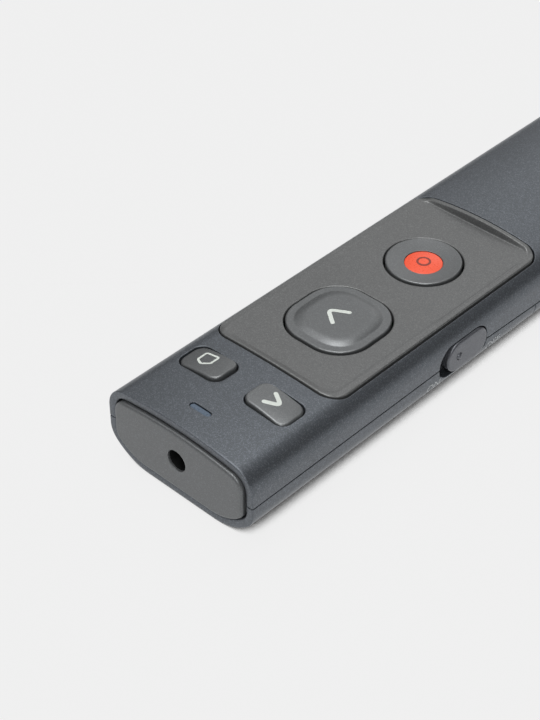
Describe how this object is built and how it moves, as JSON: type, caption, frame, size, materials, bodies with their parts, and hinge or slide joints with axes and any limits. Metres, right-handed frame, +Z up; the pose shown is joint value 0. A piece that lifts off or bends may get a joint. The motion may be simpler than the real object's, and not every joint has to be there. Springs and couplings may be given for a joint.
{
  "type": "wireless presentation clicker",
  "caption": "Slim hand-held presentation remote: chevron, laser and small front keys in a set-in panel, side power slide, sliding battery door and a stowed plug-in receiver.",
  "frame": {"origin": "middle of the footprint, on the surface that the clicker rests on", "axes": "+Z up, -Y towards the front with the laser aperture, +X towards the side with the power switch"},
  "size_m": [0.0275, 0.1357, 0.0136],
  "materials": {
    "casing_plastic": "satin, fine metallic sparkle",
    "cap_plastic": "satin",
    "panel_plastic": "fine matt grain",
    "key_plastic": "satin, white printed symbols",
    "dot_plastic": "satin gloss",
    "window_plastic": "smoked translucent",
    "knob_plastic": "satin",
    "board_laminate": "solder resist",
    "switch_plastic": "moulded",
    "plunger_plastic": "moulded",
    "screw_steel": "plated",
    "lamp_plastic": "clear",
    "chip_plastic": "moulded",
    "can_metal": "plated",
    "ceramic": "fired",
    "barrel_brass": "turned",
    "lens_glass": "polished",
    "tray_plastic": "moulded",
    "contact_metal": "nickel plated",
    "cell_wrap": "plain wrap",
    "receiver_plastic": "satin",
    "plug_steel": "plated",
    "tongue_plastic": "moulded",
    "pin_gold": "gold plated"
  },
  "bodies": {
    "casing": {"top_shell": "casing_plastic", "bottom_shell": "casing_plastic", "front_cap": "cap_plastic", "control_panel": "panel_plastic", "indicator_light_pipe": "window_plastic", "main_board": "board_laminate", "laser_driver": "board_laminate", "tact_switches": "switch_plastic", "slider_case": "switch_plastic", "board_screws": "screw_steel", "case_screws": "screw_steel", "tray_screws": "screw_steel", "indicator_lamp": "lamp_plastic", "radio_chip": "chip_plastic", "crystal": "can_metal", "laser_diode": "can_metal", "chip_antenna": "ceramic", "capacitors": "ceramic", "laser_barrel": "barrel_brass", "laser_lens": "lens_glass", "battery_tray": "tray_plastic", "plus_contact": "contact_metal", "minus_contact": "contact_metal", "minus_spring": "contact_metal", "cell_nub": "contact_metal", "cell_can": "cell_wrap"},
    "next_key": {"next_button": "key_plastic", "next_plunger": "plunger_plastic"},
    "laser_key": {"laser_button": "key_plastic", "laser_button_dot": "dot_plastic", "laser_plunger": "plunger_plastic"},
    "home_key": {"home_button": "key_plastic", "home_plunger": "plunger_plastic"},
    "back_key": {"back_button": "key_plastic", "back_plunger": "plunger_plastic"},
    "power_switch": {"power_switch_knob": "knob_plastic", "slider_lever": "plunger_plastic"},
    "battery_door": {"battery_door": "casing_plastic"},
    "receiver": {"receiver_housing": "receiver_plastic", "receiver_plug": "plug_steel", "receiver_tongue": "tongue_plastic", "receiver_pins": "pin_gold"}
  },
  "joints": [
    {"name": "next_press", "type": "slide", "parent": "casing", "child": "next_key", "axis": [0, 0, -1], "range_m": [0, 0.0003], "stiffness_N_per_m": 4000},
    {"name": "laser_press", "type": "slide", "parent": "casing", "child": "laser_key", "axis": [0, 0, -1], "range_m": [0, 0.0003], "stiffness_N_per_m": 4000},
    {"name": "home_press", "type": "slide", "parent": "casing", "child": "home_key", "axis": [0, 0, -1], "range_m": [0, 0.0003], "stiffness_N_per_m": 4000},
    {"name": "back_press", "type": "slide", "parent": "casing", "child": "back_key", "axis": [0, 0, -1], "range_m": [0, 0.0003], "stiffness_N_per_m": 4000},
    {"name": "power_slide", "type": "slide", "parent": "casing", "child": "power_switch", "axis": [0, -1, 0], "range_m": [0, 0.0016]},
    {"name": "door_slide", "type": "slide", "parent": "casing", "child": "battery_door", "axis": [0, 1, 0], "range_m": [0, 0.073]},
    {"name": "receiver_pull", "type": "slide", "parent": "casing", "child": "receiver", "axis": [0, 1, 0], "range_m": [0, 0.02]}
  ]
}
